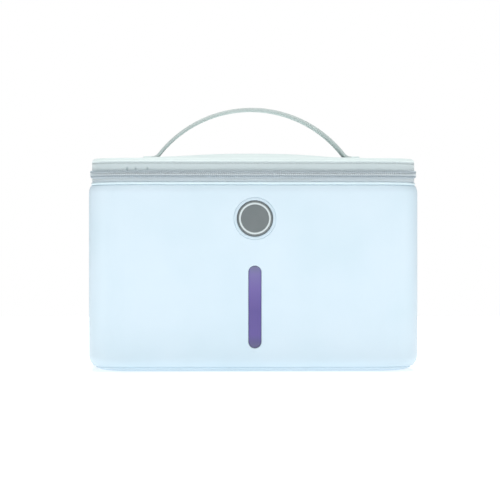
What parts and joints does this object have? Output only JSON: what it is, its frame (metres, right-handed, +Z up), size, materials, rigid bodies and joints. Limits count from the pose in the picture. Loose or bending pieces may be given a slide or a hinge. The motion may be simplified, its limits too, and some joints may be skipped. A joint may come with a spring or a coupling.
{
  "type": "portable uv steriliser case",
  "caption": "Moulded soft-shell steriliser case with a zipped, padded lid, carry strap, power button, indicator window and UV lamps inside.",
  "frame": {"origin": "middle of the base, on the surface that the case stands on", "axes": "+Z up, the front with the button faces -Y, +X to the right seen from the front"},
  "size_m": [0.2747, 0.1763, 0.2188],
  "materials": {
    "blue_shell": "smooth light-blue skin on moulded foam, satin",
    "pale_lid": "smooth pale skin on padded moulded foam, satin",
    "zip_tape": "woven cool-grey tape",
    "zip_coil": "grey nylon coil",
    "zip_metal": "satin nickel",
    "reflective_lining": "silver reflective film",
    "bezel_plastic": "light-blue satin plastic",
    "dark_plastic": "black moulded plastic",
    "white_plastic": "white moulded plastic",
    "grey_plastic": "grey moulded plastic",
    "circuit_board": "green solder mask",
    "lamp_board": "white-coated aluminium board",
    "screw_steel": "zinc-plated steel",
    "socket_steel": "plated steel shell",
    "purple_window": "purple translucent acrylic, gloss",
    "quartz_lens": "clear quartz glass",
    "battery_wrap": "blue film wrap",
    "button_grey": "grey satin plastic",
    "ring_white": "white translucent plastic",
    "grey_strap": "cool-grey stitched strap with a fine grain"
  },
  "bodies": {
    "case": {"body_shell": "blue_shell", "rim_piping": "blue_shell", "lower_zip_tape": "zip_tape", "lower_zip_coil": "zip_coil", "zip_end_stops": "zip_metal", "lower_hinge_leaf": "zip_tape", "inner_tub": "reflective_lining", "button_bezel": "bezel_plastic", "tact_switch": "dark_plastic", "control_board": "circuit_board", "control_screws": "screw_steel", "lid_sensor": "dark_plastic", "window_lens": "purple_window", "light_guide": "white_plastic", "indicator_board": "circuit_board", "base_chassis": "white_plastic", "battery_pack": "battery_wrap", "base_lamp_board": "lamp_board", "base_lamp_lenses": "quartz_lens", "base_screws": "screw_steel", "charge_board": "circuit_board", "charge_socket": "socket_steel", "charge_socket_rim": "grey_plastic"},
    "button": {"power_button": "button_grey", "button_ring": "ring_white"},
    "lid": {"lid_shell": "pale_lid", "upper_zip_tape": "zip_tape", "upper_zip_coil": "zip_coil", "upper_hinge_leaf": "zip_tape", "lid_lining": "reflective_lining", "lid_lamp_board": "lamp_board", "lid_lamp_lenses": "quartz_lens", "sensor_magnet": "zip_metal", "handle_strap": "grey_strap", "handle_backing_plates": "grey_plastic", "handle_screws": "screw_steel"},
    "front_slider": {"front_zip_slider": "zip_metal"},
    "rear_slider": {"rear_zip_slider": "zip_metal"},
    "front_pull": {"front_zip_pull": "zip_metal"},
    "rear_pull": {"rear_zip_pull": "zip_metal"}
  },
  "joints": [
    {"name": "lid_hinge", "type": "hinge", "parent": "case", "child": "lid", "pos_m": [0, 0.0875, 0.1613], "axis": [-1, 0, 0], "range_deg": [0, 105]},
    {"name": "button_press", "type": "slide", "parent": "case", "child": "button", "axis": [0, 1, 0], "range_m": [0, 0.001], "stiffness_N_per_m": 800},
    {"name": "front_slider_run", "type": "slide", "parent": "case", "child": "front_slider", "axis": [0, -1, 0], "range_m": [0, 0.074]},
    {"name": "rear_slider_run", "type": "slide", "parent": "case", "child": "rear_slider", "axis": [0, 1, 0], "range_m": [0, 0.01]},
    {"name": "front_pull_swing", "type": "hinge", "parent": "front_slider", "child": "front_pull", "pos_m": [0.13805, 0.026, 0.164], "axis": [0, -1, 0], "range_deg": [0, 160]},
    {"name": "rear_pull_swing", "type": "hinge", "parent": "rear_slider", "child": "rear_pull", "pos_m": [0.13805, 0.0375, 0.164], "axis": [0, -1, 0], "range_deg": [0, 160]}
  ]
}
